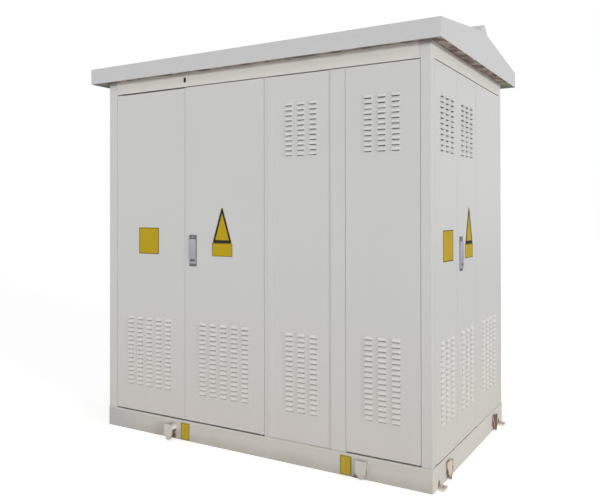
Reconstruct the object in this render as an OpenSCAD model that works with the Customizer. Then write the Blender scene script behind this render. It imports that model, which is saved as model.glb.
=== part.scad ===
// Compact substation housing: a channel base, a sheet steel body with louvred
// doors and panels on all four sides, and a low gable roof with a ridge cap.
// Origin at the middle of the footprint on the ground, +Z up, front faces -Y.

/* [Body] */
// Width of the body along the front
body_w = 2300; // [2000:10:2800]
// Depth of the body from front to back
body_d = 1415; // [1300:5:1800]
// Height of the channel base
base_h = 126; // [100:1:160]
// Height of the soffit above the ground
soffit_z = 2332; // [2100:1:2600]
// Height of the header strip above the doors
header_h = 86; // [60:1:120]
// Depth of posts, mullions and header behind the wall face
wall_d = 45; // [40:1:60]

/* [Sheet metal] */
// Thickness of door, panel and roof sheet
sheet_t = 2; // [1.5:0.5:3]
// Wall thickness of posts, mullions and header
frame_t = 3; // [2:0.5:4]
// Depth of the folded edges of doors and panels
fold_d = 25; // [20:1:30]
// Outside radius of the upright corners
bend_r = 5; // [4.5:0.5:8]

/* [Front layout] */
// Width of the left corner post of a long side
post_w = 73; // [50:1:80]
// Width of the right corner post of a long side
right_post_w = 60; // [50:1:80]
// Width of the left leaf of the double door
left_leaf_w = 593; // [500:1:700]
// Width of the right leaf of the double door
right_leaf_w = 605; // [500:1:700]
// Width of the mullion beside the double door
narrow_mullion_w = 53; // [48:1:80]
// Width of the fixed vent panel
vent_panel_w = 388; // [300:1:450]
// Width of the mullion beside the single door
wide_mullion_w = 91; // [70:1:120]
// Distance of the vent panel behind the mullions
vent_recess = 5; // [0:1:10]

/* [End layout] */
// Width of each leaf of the end double door
end_leaf_w = 380; // [330:1:430]

/* [Doors] */
// Gap at a hinged edge
hinge_gap = 2.5; // [2.5:0.5:5]
// Gap between two leaves
meeting_gap = 2.5; // [2:0.5:5]
// Gap between base and door
sill_gap = 8; // [6:1:12]
// Gap between door and header
head_gap = 5.5; // [4:0.5:8]
// How much lower the front left leaf ends
left_leaf_drop = 4; // [0:0.5:6]
// Seam around a fixed panel
panel_seam = 1; // [1:0.5:3]
// Distance of the hinge axis from the leaf's edge
pivot_in = 24; // [24:1:30]
// Radius of a hinge rod
rod_r = 4; // [3:0.5:4]
// Running clearance around a hinge rod
rod_play = 0.3; // [0.2:0.1:0.5]

/* [Louvres] */
// Width of one louvre
louvre_w = 46; // [36:1:50]
// Height from one louvre to the next
louvre_rise = 28.8; // [26:0.2:32]
// Distance from one column to the next on the long sides
louvre_step = 80.5; // [70:0.5:90]
// Distance from one column to the next on the ends
end_louvre_step = 88; // [70:0.5:95]
// How far a louvre hood stands out
louvre_out = 9; // [6:0.5:11]
// Rows in a lower block
low_rows = 16; // [8:1:16]
// Rows in an upper block
high_rows = 11; // [6:1:12]
// Height of the lowest louvre
low_z = 308; // [250:1:340]
// Height of the lowest louvre of an upper block
high_z = 1774; // [1600:1:1780]

/* [Plates and locks] */
// Height of the lower edge of the signs
plate_z = 1175; // [1000:1:1250]
// Side of the square sign
square_plate_w = 172; // [120:1:200]
// Width of the sign under the triangle
wide_plate_w = 154; // [120:1:180]
// Height of the sign under the triangle
wide_plate_h = 82; // [60:1:100]
// Width of the triangular sign
triangle_w = 142; // [100:1:160]
// Height of the triangular sign
triangle_h = 216; // [150:1:240]
// Width of a lock
lock_w = 57; // [50:1:70]
// Height of a lock
lock_h = 198; // [160:1:220]
// Height of the lower end of a lock
lock_z = 1107; // [1000:1:1200]

/* [Lifting lugs] */
// Radius of a lug's tube
lug_r = 26; // [20:1:28]
// Width of a lug's end plate
lug_plate_w = 64; // [56:1:80]
// Height of a lug's end plate
lug_plate_h = 100; // [80:1:100]
// Reach of the long lugs
long_lug = 56; // [40:1:90]
// Reach of the short lugs
short_lug = 20; // [16:1:50]

/* [Roof] */
// Overhang beyond the front and the back
eave_out = 90; // [84:1:140]
// Overhang beyond the ends
verge_out = 80; // [60:1:120]
// Height of the fascia
fascia_h = 101; // [80:1:130]
// How far the fascia hangs below the soffit
fascia_drop = 14; // [10:1:30]
// Rise of the roof from eave to ridge
roof_rise = 105; // [70:1:160]
// Width of the ridge cap
cap_w = 142; // [100:1:180]
// Width of the flat on top of the ridge cap
cap_top_w = 24; // [10:1:40]
// Height of the ridge cap above the ridge
cap_h = 38; // [25:1:60]

/* [Hidden] */
$fn = 64;

body_colour = "#c6c6c3";
base_colour = "#c3beb6";
roof_colour = "#c9cacb";
plate_colour = "#c9ad1f";
lock_colour = "#8f959a";

over = 1;                       // overcut that keeps faces from coinciding

// Levels
door_z0 = base_h + sill_gap;
header_z = soffit_z - header_h;
door_z1 = header_z - head_gap;
fascia_z = soffit_z - fascia_drop;
eave_z = fascia_z + fascia_h;
ridge_z = eave_z + roof_rise;
roof_half = body_d / 2 + eave_out;
roof_len = body_w + 2 * verge_out;

// Front lines, measured from the left corner of the side
split_x = post_w + left_leaf_w;
narrow_mullion_x = split_x + right_leaf_w;
vent_x = narrow_mullion_x + narrow_mullion_w;
wide_mullion_x = vent_x + vent_panel_w;
single_x = wide_mullion_x + wide_mullion_w;
single_end_x = body_w - right_post_w;

// End lines, measured from the left corner of the end
end_split_x = wall_d + end_leaf_w;
end_panel_x = end_split_x + end_leaf_w;
end_panel_end_x = body_d - wall_d;

// Base channel
base_lip = 3;
web_t = 6;
flange_t = 8;
flange_w = 53;
crossbeam_x = body_w / 6;
foot_l = 70;
foot_out = 40;
foot_t = 12;
foot_corner_r = 12;
foot_hole_r = 7;
foot_in = 85;                   // foot centre from the corner of the end
foot_hole_out = 22;             // bolt centre from the face of the base
floor_t = 4;
floor_gap = 1;
floor_edge = wall_d + floor_gap;

// Frame
rib_w = 4;                      // raised fold down the narrow mullion
header_hole_r = 9;
seam_d = 1.5;                   // depth of the seams between header and posts
fold_lip = 12;                  // turned-in lip behind each folded edge

// Hinges
pivot_d = 8.5;                  // hinge axis behind the face
knuckle_r = 6.5;
knuckle_h = 60;
collar_r = 9;
collar_gap = 0.2;

// Louvres
hood_h = 0.78 * louvre_rise;
hood_lip = 3;
hood_slit = 3.6;                // open strip below a hood's lip
hood_taper = 4;                 // how far each end of a hood leans in towards its top
cheek_t = 1.5;
left_leaf_shift = -5;           // louvres of the left leaf sit nearer its hinge
vent_low_drop = 6;              // lower block of the vent panel
single_low_lift = 20;           // lower block of the single door
end_near_shift = 11;            // louvres of the end leaves sit off their middles
end_far_shift = -3;

// Locks
lock_in = 38;                   // from the meeting line of the leaves
lock_base_t = 3;
lever_t = 6;                    // thickness of the lever on its base plate
lever_rim = 3.5;                // from the side of the lock to its lever
lever_z = 17;
lever_top_in = 27;              // from the top of the lock to its lever
slot_rim = 9;                   // from the side of the lock to its slot
slot_h = 15;
slot_z = 30;
slot_floor_t = 1.5;
barrel_r = 8;
barrel_out = 3;

// Signs
plate_t = 1.5;
tip_r = 6;
plate_seat = 0.5;               // overlap of the triangle with the plate under it
front_plate_shift = -8;
end_square_shift = 23;
end_triangle_shift = 32;

// Ridge cap
cap_seat = 0.3;

// Lugs
lug_plate_t = 8;
lug_tube_t = 6;
lug_tube_drop = 8;              // from the top of the end plate to its tube
lug_z = 4;                      // lower end of the end plate
lug_tip_r = 18;                 // end plates narrow to a round tip
lug_tip_h = 36;                 // height over which they narrow
lug_front_x = 575;              // lug centres from the corners of a long side
lug_front_end = 397;
lug_end_in = 232;               // lug centres from the corners of an end

// Carries a piece drawn on the front wall, x from the wall's left corner and
// y into the body, to the front (0), right end (1), back (2) or left end (3).
module on_side(side) {
  half = side % 2 == 0 ? [body_w / 2, body_d / 2] : [body_d / 2, body_w / 2];
  rotate([0, 0, 90 * side]) translate([-half[0], -half[1], 0]) children();
}

// ---------- base ----------

// Slab over the origin with its four upright edges rounded
module rounded_slab(w, d, h, r) {
  translate([-w / 2 + r, -d / 2, 0]) cube([w - 2 * r, d, h]);
  translate([-w / 2, -d / 2 + r, 0]) cube([w, d - 2 * r, h]);
  for (x = [-1, 1], y = [-1, 1])
    translate([x * (w / 2 - r), y * (d / 2 - r), 0]) cylinder(r = r, h = h);
}

module channel_ring() {
  outer = [body_w + 2 * base_lip, body_d + 2 * base_lip];
  difference() {
    rounded_slab(outer[0], outer[1], base_h, bend_r + base_lip);
    translate([-outer[0] / 2 + web_t, -outer[1] / 2 + web_t, flange_t])
      cube([outer[0] - 2 * web_t, outer[1] - 2 * web_t, base_h - 2 * flange_t]);
    translate([-outer[0] / 2 + flange_w, -outer[1] / 2 + flange_w, -over])
      cube([outer[0] - 2 * flange_w, outer[1] - 2 * flange_w, base_h + 2 * over]);
  }
}

module crossbeam() {
  len = body_d + 2 * base_lip - web_t;
  difference() {
    translate([-flange_w / 2, -len / 2, 0]) cube([flange_w, len, base_h]);
    translate([-flange_w / 2 + web_t, -len / 2 - over, flange_t])
      cube([flange_w, len + 2 * over, base_h - 2 * flange_t]);
  }
}

module anchor_foot() {
  r = foot_corner_r;
  difference() {
    union() {
      translate([-foot_l / 2, -foot_out - base_lip + r, 0])
        cube([foot_l, foot_out - r + over, foot_t]);
      translate([-foot_l / 2 + r, -foot_out - base_lip, 0])
        cube([foot_l - 2 * r, foot_out, foot_t]);
      for (end = [-1, 1])
        translate([end * (foot_l / 2 - r), -foot_out - base_lip + r, 0])
          cylinder(r = r, h = foot_t);
    }
    translate([0, -base_lip - foot_hole_out, -over])
      cylinder(r = foot_hole_r, h = foot_t + 2 * over);
  }
}

module base_frame() color(base_colour) {
  channel_ring();
  for (side = [-1, 1]) translate([side * crossbeam_x, 0, 0]) crossbeam();
  for (side = [1, 3], x = [foot_in, body_d - foot_in])
    on_side(side) translate([x, 0, 0]) anchor_foot();
}

module floor_plate() color(base_colour)
  translate([-body_w / 2 + floor_edge, -body_d / 2 + floor_edge, base_h])
    cube([body_w - 2 * floor_edge, body_d - 2 * floor_edge, floor_t]);

// ---------- frame ----------

// Box with the upright edge at the origin rounded
module bent_box(w, d, h, r) {
  translate([r, 0, 0]) cube([w - r, d, h]);
  translate([0, r, 0]) cube([w, d - r, h]);
  translate([r, r, 0]) cylinder(r = r, h = h);
}

// Hollow post at the left corner of a side, w along it and d into the body
module corner_post(side, w, d) color(body_colour) on_side(side) {
  h = header_z - base_h;
  translate([0, 0, base_h]) difference() {
    bent_box(w, d, h, bend_r);
    translate([frame_t, frame_t, -over])
      bent_box(w - 2 * frame_t, d - 2 * frame_t, h + 2 * over, bend_r - frame_t);
  }
}

// Hollow mullion whose face ends below the header
module mullion(side, x, w) color(body_colour) on_side(side) {
  h = header_z - base_h;
  translate([x, 0, base_h]) difference() {
    cube([w, wall_d, h]);
    translate([frame_t, frame_t, -over])
      cube([w - 2 * frame_t, wall_d - 2 * frame_t, h + 2 * over]);
    translate([-over, -over, h - head_gap])
      cube([w + 2 * over, frame_t + 2 * over, head_gap + over]);
  }
}

// The narrow mullion has a raised fold down its middle
module narrow_mullion(side) color(body_colour) {
  mullion(side, narrow_mullion_x, narrow_mullion_w);
  on_side(side) translate([narrow_mullion_x + (narrow_mullion_w - rib_w) / 2, -sheet_t, base_h])
    cube([rib_w, sheet_t + frame_t / 2, door_z1 - base_h]);
}

// Box-section ring with seams beside the posts and a hole over the double door
module header_frame() color(body_colour) {
  difference() {
    translate([0, 0, header_z]) rounded_slab(body_w, body_d, header_h, bend_r);
    translate([0, 0, header_z + frame_t])
      rounded_slab(body_w - 2 * frame_t, body_d - 2 * frame_t, header_h - 2 * frame_t,
        bend_r - frame_t);
    translate([-body_w / 2 + wall_d, -body_d / 2 + wall_d, header_z - over])
      cube([body_w - 2 * wall_d, body_d - 2 * wall_d, header_h + 2 * over]);
    for (side = [0, 2], x = [post_w, single_end_x])
      on_side(side) translate([x - panel_seam / 2, -over, header_z - over])
        cube([panel_seam, seam_d + over, header_h + 2 * over]);
    on_side(0) translate([split_x, -over, header_z + header_h / 2])
      rotate([-90, 0, 0]) cylinder(r = header_hole_r, h = frame_t + 2 * over);
  }
}

// ---------- louvred doors and panels ----------

// Outline of one louvre and the strip above it, in depth and height
function louvre_outline(z) = [
  [-louvre_out, z], [-louvre_out, z + hood_lip], [0, z + hood_h], [0, z + louvre_rise]
];

// The hollow under one hood, open below and to the back
function louvre_hollow(z) = [
  [sheet_t - louvre_out, z - hood_slit], [sheet_t - louvre_out, z + hood_lip - sheet_t / 3],
  [sheet_t + over, z + hood_h + over / 2], [sheet_t + over, z - hood_slit]
];

module along_x(len) rotate([90, 0, 90]) linear_extrude(height = len) children();

// Left edge of a column, where each hood's end leans in from its lip to its top
function leaning_edge(rows, inset) = [
  for (i = [0:rows - 1]) let (z = i * louvre_rise) each [
    [inset, z - hood_slit], [inset, z + hood_lip],
    [inset + hood_taper, z + hood_h], [inset + hood_taper, z + louvre_rise - hood_slit]
  ]
];

// Keeps what lies between the leaning ends of a column
module between_ends(rows, inset) intersection() {
  children();
  left = leaning_edge(rows, inset);
  right = [for (i = [len(left) - 1:-1:0]) [louvre_w - left[i][0], left[i][1]]];
  translate([0, sheet_t + 2 * over, 0]) rotate([90, 0, 0])
    linear_extrude(height = louvre_out + sheet_t + 3 * over) polygon(concat(left, right));
}

module louvre_column(rows) {
  steps = [for (i = [0:rows - 1]) each louvre_outline(i * louvre_rise)];
  between_ends(rows, 0) along_x(louvre_w)
    polygon(concat([[sheet_t / 2, 0]], steps, [[sheet_t / 2, rows * louvre_rise]]));
}

module louvre_hollows(rows) between_ends(rows, cheek_t) along_x(louvre_w)
  for (i = [0:rows - 1]) polygon(louvre_hollow(i * louvre_rise));

// A block of louvres is [middle, height, columns, rows, step], from the lower
// left corner of the leaf or panel
function column_x(b, i) = b[0] - louvre_w / 2 + (i - (b[2] - 1) / 2) * b[4];
function moved(blocks, x, z) = [for (b = blocks) [b[0] - x, b[1] - z, b[2], b[3], b[4]]];

// Sheet pan with folded edges that end in a turned-in lip, outer face at y = 0
module folded_pan(w, h) difference() {
  cube([w, fold_d, h]);
  translate([sheet_t, sheet_t, sheet_t])
    cube([w - 2 * sheet_t, fold_d - 2 * sheet_t, h - 2 * sheet_t]);
  translate([fold_lip, fold_d - sheet_t - over, fold_lip])
    cube([w - 2 * fold_lip, sheet_t + 2 * over, h - 2 * fold_lip]);
}

// Pan with blocks of louvres
module louvred_pan(w, h, blocks) difference() {
  union() {
    folded_pan(w, h);
    for (b = blocks, i = [0:b[2] - 1])
      translate([column_x(b, i), 0, b[1]]) louvre_column(b[3]);
  }
  for (b = blocks, i = [0:b[2] - 1])
    translate([column_x(b, i), 0, b[1]]) louvre_hollows(b[3]);
}

// Hinged leaf between two lines of a side; the hinge is at its left or right,
// and its top ends lower by the given drop
module door_leaf(x0, x1, hinge_right, meets, blocks, drop = 0) {
  free_gap = meets ? meeting_gap / 2 : hinge_gap;
  left = x0 + (hinge_right ? free_gap : hinge_gap);
  right = x1 - (hinge_right ? hinge_gap : free_gap);
  w = right - left;
  h = door_z1 - drop - door_z0;
  pivot = hinge_right ? w - pivot_in : pivot_in;
  edge = hinge_right ? w - sheet_t / 2 : sheet_t / 2;
  translate([left, 0, door_z0]) difference() {
    union() {
      louvred_pan(w, h, moved(blocks, left, door_z0));
      for (z = [0, (h - knuckle_h) / 2, h - knuckle_h]) translate([0, 0, z]) {
        translate([pivot, pivot_d, 0]) cylinder(r = knuckle_r, h = knuckle_h);
        translate([min(pivot, edge), sheet_t / 2, 0])
          cube([abs(pivot - edge), pivot_d + knuckle_r - sheet_t / 2, knuckle_h]);
      }
    }
    translate([pivot, pivot_d, -over]) cylinder(r = rod_r + rod_play, h = h + 2 * over);
  }
}

module hinge_rod(x) color("silver") translate([x, pivot_d, 0]) {
  translate([0, 0, base_h]) cylinder(r = rod_r, h = header_z - base_h);
  translate([0, 0, base_h]) cylinder(r = collar_r, h = sill_gap - collar_gap);
}

// Fixed panel between two lines of a side, behind its face by the given recess
module fixed_panel(x0, x1, blocks, recess = 0) {
  left = x0 + panel_seam / 2;
  translate([left, recess, base_h])
    louvred_pan(x1 - x0 - panel_seam, door_z1 - base_h, moved(blocks, left, base_h));
}

function middle(x0, x1) = (x0 + x1) / 2;
function low_block(x, columns, lift = 0, step = louvre_step) =
  [x, low_z + lift, columns, low_rows, step];
function high_block(x, columns, step = louvre_step) = [x, high_z, columns, high_rows, step];
function end_leaf_blocks(x) = [
  low_block(x, 3, step = end_louvre_step), high_block(x, 3, step = end_louvre_step)
];

left_leaf_mid = middle(post_w, split_x);
right_leaf_mid = middle(split_x, narrow_mullion_x);
vent_mid = middle(vent_x, wide_mullion_x);
single_mid = middle(single_x, single_end_x);
end_near_mid = middle(wall_d, end_split_x);
end_far_mid = middle(end_split_x, end_panel_x);
end_panel_mid = middle(end_panel_x, end_panel_end_x);

left_leaf_blocks = [low_block(left_leaf_mid + left_leaf_shift, 5)];
right_leaf_blocks = [low_block(right_leaf_mid, 5)];
vent_blocks = [low_block(vent_mid, 3, -vent_low_drop), high_block(vent_mid, 3)];
single_blocks = [low_block(single_mid, 3, single_low_lift), high_block(single_mid, 3)];
end_near_blocks = end_leaf_blocks(end_near_mid + end_near_shift);
end_far_blocks = end_leaf_blocks(end_far_mid + end_far_shift);
end_panel_blocks = [low_block(end_panel_mid, 4, step = end_louvre_step)];

module front_left_leaf() color(body_colour)
  on_side(0) door_leaf(post_w, split_x, false, true, left_leaf_blocks, left_leaf_drop);
module front_right_leaf() color(body_colour)
  on_side(0) door_leaf(split_x, narrow_mullion_x, true, true, right_leaf_blocks);
module front_single_door() color(body_colour)
  on_side(0) door_leaf(single_x, single_end_x, true, false, single_blocks);
module end_near_leaf() color(body_colour)
  on_side(1) door_leaf(wall_d, end_split_x, false, true, end_near_blocks);
module end_far_leaf() color(body_colour)
  on_side(1) door_leaf(end_split_x, end_panel_x, true, true, end_far_blocks);

module rod_front_left() on_side(0) hinge_rod(post_w + hinge_gap + pivot_in);
module rod_front_right() on_side(0) hinge_rod(narrow_mullion_x - hinge_gap - pivot_in);
module rod_front_single() on_side(0) hinge_rod(single_end_x - hinge_gap - pivot_in);
module rod_end_near() on_side(1) hinge_rod(wall_d + hinge_gap + pivot_in);
module rod_end_far() on_side(1) hinge_rod(end_panel_x - hinge_gap - pivot_in);

module left_leaf_panel(side) color(body_colour)
  on_side(side) fixed_panel(post_w, split_x, left_leaf_blocks);
module right_leaf_panel(side) color(body_colour)
  on_side(side) fixed_panel(split_x, narrow_mullion_x, right_leaf_blocks);
module vent_panel(side) color(body_colour)
  on_side(side) fixed_panel(vent_x, wide_mullion_x, vent_blocks, vent_recess);
module single_panel(side) color(body_colour)
  on_side(side) fixed_panel(single_x, single_end_x, single_blocks);
module near_leaf_panel(side) color(body_colour)
  on_side(side) fixed_panel(wall_d, end_split_x, end_near_blocks);
module far_leaf_panel(side) color(body_colour)
  on_side(side) fixed_panel(end_split_x, end_panel_x, end_far_blocks);
module wide_panel(side) color(body_colour)
  on_side(side) fixed_panel(end_panel_x, end_panel_end_x, end_panel_blocks);

// ---------- locks and plates ----------

// Base plate with a slotted lever, and a key barrel above the lever
module lock_case() {
  lever_h = lock_h - lever_z - lever_top_in;
  difference() {
    union() {
      translate([0, -lock_base_t, 0]) cube([lock_w, lock_base_t, lock_h]);
      translate([lever_rim, -lock_base_t - lever_t, lever_z])
        cube([lock_w - 2 * lever_rim, lever_t + over, lever_h]);
    }
    translate([slot_rim, -lock_base_t - lever_t - over, slot_z])
      cube([lock_w - 2 * slot_rim, lock_base_t + lever_t + over - slot_floor_t, slot_h]);
  }
  translate([lock_w / 2, -lock_base_t, lock_h - lever_top_in / 2])
    rotate([90, 0, 0]) cylinder(r = barrel_r, h = barrel_out);
}

module door_lock(side, split) color(lock_colour)
  on_side(side) translate([split + lock_in, 0, lock_z]) lock_case();

module square_plate(side, x) color(plate_colour)
  on_side(side) translate([x - square_plate_w / 2, -plate_t, plate_z])
    cube([square_plate_w, plate_t, square_plate_w]);

// Upright triangle with rounded corners, its foot on the X axis
module rounded_triangle(w, h, r) {
  half = w / 2 - r;
  out = r * [h - 2 * r, half] / norm([h - 2 * r, half]);
  polygon([
    [-half, 0], [half, 0], [half, r] + out, [0, h - r] + out,
    [-out[0], h - r + out[1]], [-half - out[0], r + out[1]]
  ]);
  for (centre = [[-half, r], [half, r], [0, h - r]]) translate(centre) circle(r = r);
}

// Rounded triangle on top of a plain rectangle, cut from one plate
module triangle_plate(side, x) color(plate_colour) on_side(side) translate([x, 0, plate_z]) {
  translate([-wide_plate_w / 2, -plate_t, 0]) cube([wide_plate_w, plate_t, wide_plate_h]);
  translate([0, 0, wide_plate_h - plate_seat]) rotate([90, 0, 0])
    linear_extrude(height = plate_t) rounded_triangle(triangle_w, triangle_h + plate_seat, tip_r);
}

// ---------- lifting lugs ----------

// End plate with straight upper sides that narrow to a round tip at the origin
module lug_plate() {
  half = lug_plate_w / 2;
  corner = [half, lug_tip_h - lug_tip_r];
  turn = atan2(corner[1], corner[0]) - acos(lug_tip_r / norm(corner));
  touch = lug_tip_r * [cos(turn), sin(turn)] + [0, lug_tip_r];
  linear_extrude(height = lug_plate_t) polygon([
    [-half, lug_plate_h], [half, lug_plate_h], [half, lug_tip_h], touch,
    [-touch[0], touch[1]], [-half, lug_tip_h]
  ]);
  translate([0, lug_tip_r, 0]) cylinder(r = lug_tip_r, h = lug_plate_t);
}

// Short tube welded to the base, closed by an end plate that hangs below it
module lug(side, x, reach) color(base_colour) on_side(side) {
  translate([x, -base_lip, lug_z]) rotate([90, 0, 0]) {
    translate([0, lug_plate_h - lug_tube_drop - lug_r, 0]) difference() {
      cylinder(r = lug_r, h = reach - lug_plate_t + over);
      translate([0, 0, -over]) cylinder(r = lug_r - lug_tube_t, h = reach - lug_plate_t + over);
    }
    translate([0, 0, reach - lug_plate_t]) lug_plate();
  }
}

// ---------- roof ----------

module gable_outline(inset) polygon([
  [-roof_half + inset, fascia_z - (inset > 0 ? over : 0)], [-roof_half + inset, eave_z - inset],
  [0, ridge_z - inset], [roof_half - inset, eave_z - inset],
  [roof_half - inset, fascia_z - (inset > 0 ? over : 0)]
]);

module roof_shell() color(roof_colour) difference() {
  translate([-roof_len / 2, 0, 0]) along_x(roof_len) gable_outline(0);
  translate([-roof_len / 2 + sheet_t, 0, 0]) along_x(roof_len - 2 * sheet_t) gable_outline(sheet_t);
}

module soffit() color(roof_colour)
  translate([-roof_len / 2 + sheet_t, -roof_half + sheet_t, soffit_z])
    cube([roof_len - 2 * sheet_t, 2 * (roof_half - sheet_t), sheet_t]);

// Outline of the ridge cap, drawn in by the given thickness
function cap_outline(inset) =
  let (
    foot_z = ridge_z + cap_seat - roof_rise / roof_half * cap_w / 2,
    top_z = ridge_z + cap_seat + cap_h,
    run = (cap_w - cap_top_w) / 2,
    rise = top_z - foot_z,
    side_in = inset * norm([run, rise]) / rise,
    top_in = cap_top_w / 2 + (inset * run / rise) - side_in
  )
  [[-cap_w / 2 + side_in, foot_z], [-top_in, top_z - inset], [top_in, top_z - inset],
    [cap_w / 2 - side_in, foot_z]];

// Folded sheet with closed ends, resting on both slopes
module ridge_cap() color(roof_colour) difference() {
  translate([-roof_len / 2, 0, 0]) along_x(roof_len) polygon(concat(
    cap_outline(0), [[0, ridge_z + cap_seat]]));
  translate([-roof_len / 2 + sheet_t, 0, 0]) along_x(roof_len - 2 * sheet_t)
    polygon(cap_outline(sheet_t));
}

// ---------- parts ----------

base_frame();
floor_plate();
corner_post(0, post_w, wall_d);  // post_front_left
corner_post(1, wall_d, right_post_w);  // post_front_right
corner_post(3, wall_d, right_post_w);  // post_back_left
corner_post(2, post_w, wall_d);  // post_back_right
narrow_mullion(0);  // mullion_front_narrow
mullion(0, wide_mullion_x, wide_mullion_w);  // mullion_front_wide
narrow_mullion(2);  // mullion_back_narrow
mullion(2, wide_mullion_x, wide_mullion_w);  // mullion_back_wide
header_frame();
front_left_leaf();
front_right_leaf();
front_single_door();
end_near_leaf();
end_far_leaf();
rod_front_left();
rod_front_right();
rod_front_single();
rod_end_near();
rod_end_far();
vent_panel(0);  // front_vent_panel
wide_panel(1);  // end_wide_panel
left_leaf_panel(2);  // back_left_panel
right_leaf_panel(2);  // back_right_panel
vent_panel(2);  // back_vent_panel
single_panel(2);  // back_single_panel
near_leaf_panel(3);  // left_end_near_panel
far_leaf_panel(3);  // left_end_far_panel
wide_panel(3);  // left_end_wide_panel
door_lock(0, split_x);  // front_lock
door_lock(1, end_split_x);  // end_lock
square_plate(0, left_leaf_mid + front_plate_shift);  // front_square_plate
triangle_plate(0, right_leaf_mid + front_plate_shift);  // front_triangle_plate
square_plate(1, end_near_mid + end_square_shift);  // end_square_plate
triangle_plate(1, end_far_mid + end_triangle_shift);  // end_triangle_plate
lug(0, lug_front_x, long_lug);  // lug_front_left
lug(0, body_w - lug_front_end, short_lug);  // lug_front_right
lug(2, body_w - lug_front_end, short_lug);  // lug_back_left
lug(2, lug_front_x, long_lug);  // lug_back_right
lug(1, lug_end_in, short_lug);  // lug_end_near
lug(1, body_d - lug_end_in, short_lug);  // lug_end_far
lug(3, body_d - lug_end_in, short_lug);  // lug_left_end_near
lug(3, lug_end_in, short_lug);  // lug_left_end_far
soffit();
roof_shell();
ridge_cap();
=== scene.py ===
import math

import bmesh
import bpy
from mathutils import Matrix, Vector


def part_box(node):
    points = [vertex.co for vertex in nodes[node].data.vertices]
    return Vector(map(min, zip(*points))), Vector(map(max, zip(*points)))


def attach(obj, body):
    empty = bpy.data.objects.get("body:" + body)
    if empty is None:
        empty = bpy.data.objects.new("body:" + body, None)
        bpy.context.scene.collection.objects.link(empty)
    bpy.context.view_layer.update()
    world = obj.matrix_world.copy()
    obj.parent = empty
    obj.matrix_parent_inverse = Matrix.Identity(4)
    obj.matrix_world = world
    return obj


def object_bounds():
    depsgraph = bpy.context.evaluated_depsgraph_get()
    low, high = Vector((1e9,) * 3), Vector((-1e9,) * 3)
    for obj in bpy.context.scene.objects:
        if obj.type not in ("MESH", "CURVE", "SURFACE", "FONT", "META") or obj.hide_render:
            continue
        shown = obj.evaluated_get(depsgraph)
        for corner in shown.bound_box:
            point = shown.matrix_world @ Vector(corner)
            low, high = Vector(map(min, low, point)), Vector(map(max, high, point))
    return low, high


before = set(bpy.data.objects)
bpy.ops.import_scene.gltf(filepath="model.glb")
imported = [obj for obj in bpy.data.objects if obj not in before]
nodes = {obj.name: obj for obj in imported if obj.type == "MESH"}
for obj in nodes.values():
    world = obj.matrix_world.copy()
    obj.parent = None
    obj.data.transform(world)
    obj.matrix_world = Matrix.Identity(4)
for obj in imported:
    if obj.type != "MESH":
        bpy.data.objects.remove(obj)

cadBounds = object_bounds()
scene = bpy.context.scene
scene.view_settings.view_transform = "Standard"
mm = 0.001
print("stage: frame loaded,", len(nodes), "nodes")

# Camera

# distances in metres from the box of the part, angles in degrees
cameraPlan = {
    "beyondRight": 1.0857,
    "beforeFront": 3.2311,
    "eyeHeight": 1.4413,
    "turnLeft": 30.434,
    "lookUp": 0.328,
    "lean": 0.089,
    "lens": 40.4,
    "shiftDown": 0.06795,
}


def placeCamera(plan):
    low, high = cadBounds
    data = bpy.data.cameras.new("camera")
    camera = bpy.data.objects.new("camera", data)
    scene.collection.objects.link(camera)
    data.lens = plan["lens"]
    data.shift_y = -plan["shiftDown"]
    camera.location = (high[0] + plan["beyondRight"], low[1] - plan["beforeFront"], plan["eyeHeight"])
    angles = (90 + plan["lookUp"], plan["lean"], plan["turnLeft"])
    camera.rotation_euler = [math.radians(angle) for angle in angles]
    scene.camera = camera


placeCamera(cameraPlan)
print("stage: camera placed")

# Positions on the walls

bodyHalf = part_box("header_frame")[1]
frontSide, rightEnd, backSide, leftEnd = range(4)
baseLip = 3 * mm        # the base stands out this far from the walls
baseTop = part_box("base_frame")[1][2]


def wallFrame(side):
    # carries (along the wall from its left, into the body, up) to the world
    half = (bodyHalf[0], bodyHalf[1]) if side % 2 == 0 else (bodyHalf[1], bodyHalf[0])
    return Matrix.Rotation(math.radians(90 * side), 4, "Z") @ Matrix.Translation((-half[0], -half[1], 0))


def onWall(node, side):
    # edges of a CAD node as seen from outside its wall; face is negative outside the wall
    back = wallFrame(side).inverted()
    low, high = (back @ Vector(corner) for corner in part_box(node))
    return {
        "left": min(low.x, high.x), "right": max(low.x, high.x),
        "bottom": low.z, "top": high.z, "face": min(low.y, high.y),
    }


def wallSides(edges):
    return tuple(edges[key] for key in ("left", "right", "bottom", "top"))


# Shader building

cornerSpan = (0.1, 0.6)     # on a round corner both level parts of the normal are above this


def screenColour(colour):
    # 0 to 255 as seen on a screen, to a shader colour
    def one(value):
        value = value / 255
        return value / 12.92 if value <= 0.04045 else ((value + 0.055) / 1.055) ** 2.4

    return (*map(one, colour), 1)


class Wire:
    # a socket of a node tree; sums with it add Math nodes to that tree
    def __init__(self, recipe, socket):
        self.recipe = recipe
        self.socket = socket

    def __add__(self, other):
        return self.recipe.maths("ADD", self, other)

    def __sub__(self, other):
        return self.recipe.maths("SUBTRACT", self, other)

    def __rsub__(self, other):
        return self.recipe.maths("SUBTRACT", other, self)

    def __mul__(self, other):
        return self.recipe.maths("MULTIPLY", self, other)

    __radd__ = __add__
    __rmul__ = __mul__


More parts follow.
